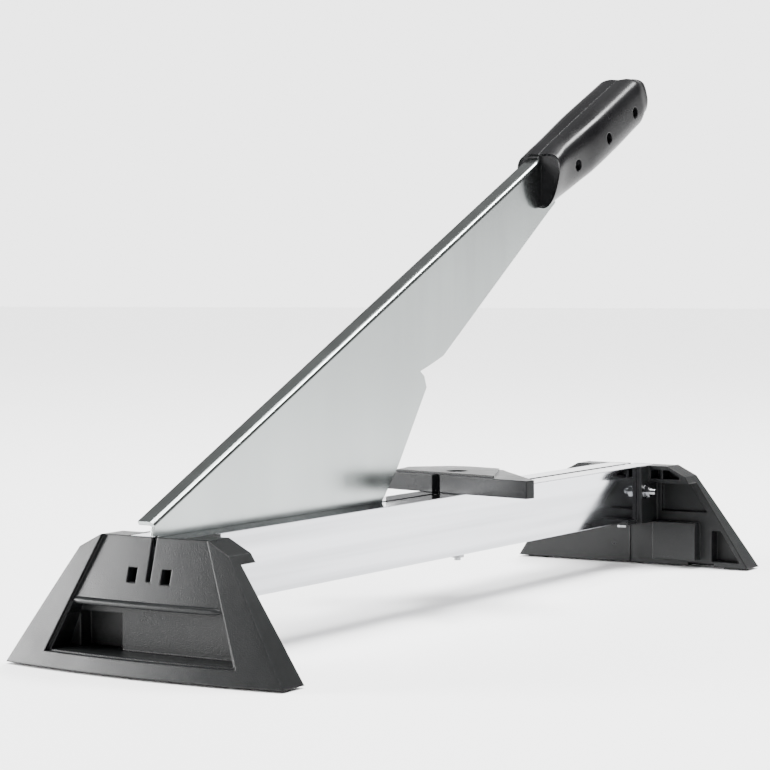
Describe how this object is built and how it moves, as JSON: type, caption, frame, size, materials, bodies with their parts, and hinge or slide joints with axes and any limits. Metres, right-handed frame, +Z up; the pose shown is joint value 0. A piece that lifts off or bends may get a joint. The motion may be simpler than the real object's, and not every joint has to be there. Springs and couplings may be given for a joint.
{
  "type": "floor plank guillotine cutter",
  "caption": "Bench cutter for laminate and vinyl floor planks: long guillotine arm pivoting at one end of a slotted rail on two feet, with a swivelling fence.",
  "frame": {"origin": "on the ground at the middle of the footprint of the two feet", "axes": "+X along the rail from the pivot foot to the far foot, +Z up, +Y to the left seen from the pivot foot"},
  "size_m": [0.654, 0.2, 0.3796],
  "materials": {
    "foot_plastic": "fine-grained moulded plastic",
    "fence_plastic": "fine-grained moulded plastic",
    "handle_plastic": "semi-gloss moulded plastic",
    "rail_aluminium": "bright drawn",
    "blade_steel": "zinc-plated satin sheet",
    "zinc_steel": "zinc-plated",
    "white_nylon": "plain",
    "pad_rubber": "matte"
  },
  "bodies": {
    "base": {"pivot_foot": "foot_plastic", "far_foot": "foot_plastic", "pivot_washers": "zinc_steel", "far_washers": "zinc_steel", "left_rail": "rail_aluminium", "right_rail": "rail_aluminium", "pivot_bolt": "zinc_steel", "pivot_nut": "zinc_steel", "far_bolt": "zinc_steel", "far_nut": "zinc_steel", "pivot_bush": "zinc_steel", "friction_washers": "white_nylon", "rail_spacer": "zinc_steel", "rail_screws": "zinc_steel", "pivot_foot_pads": "pad_rubber", "far_foot_pads": "pad_rubber"},
    "arm": {"blade_arm": "blade_steel", "left_handle_half": "handle_plastic", "right_handle_half": "handle_plastic", "handle_screws": "zinc_steel", "handle_nuts": "zinc_steel"},
    "fence": {"fence": "fence_plastic", "fence_bolt": "zinc_steel", "fence_nut": "zinc_steel", "fence_washer": "zinc_steel"}
  },
  "joints": [
    {"name": "arm_hinge", "type": "hinge", "parent": "base", "child": "arm", "pos_m": [-0.277, 0, 0.0595], "axis": [0, -1, 0], "range_deg": [-15, 12]},
    {"name": "fence_swivel", "type": "hinge", "parent": "base", "child": "fence", "pos_m": [0.034, 0, 0.0792], "axis": [0, 0, 1], "range_deg": [0, 40]}
  ]
}
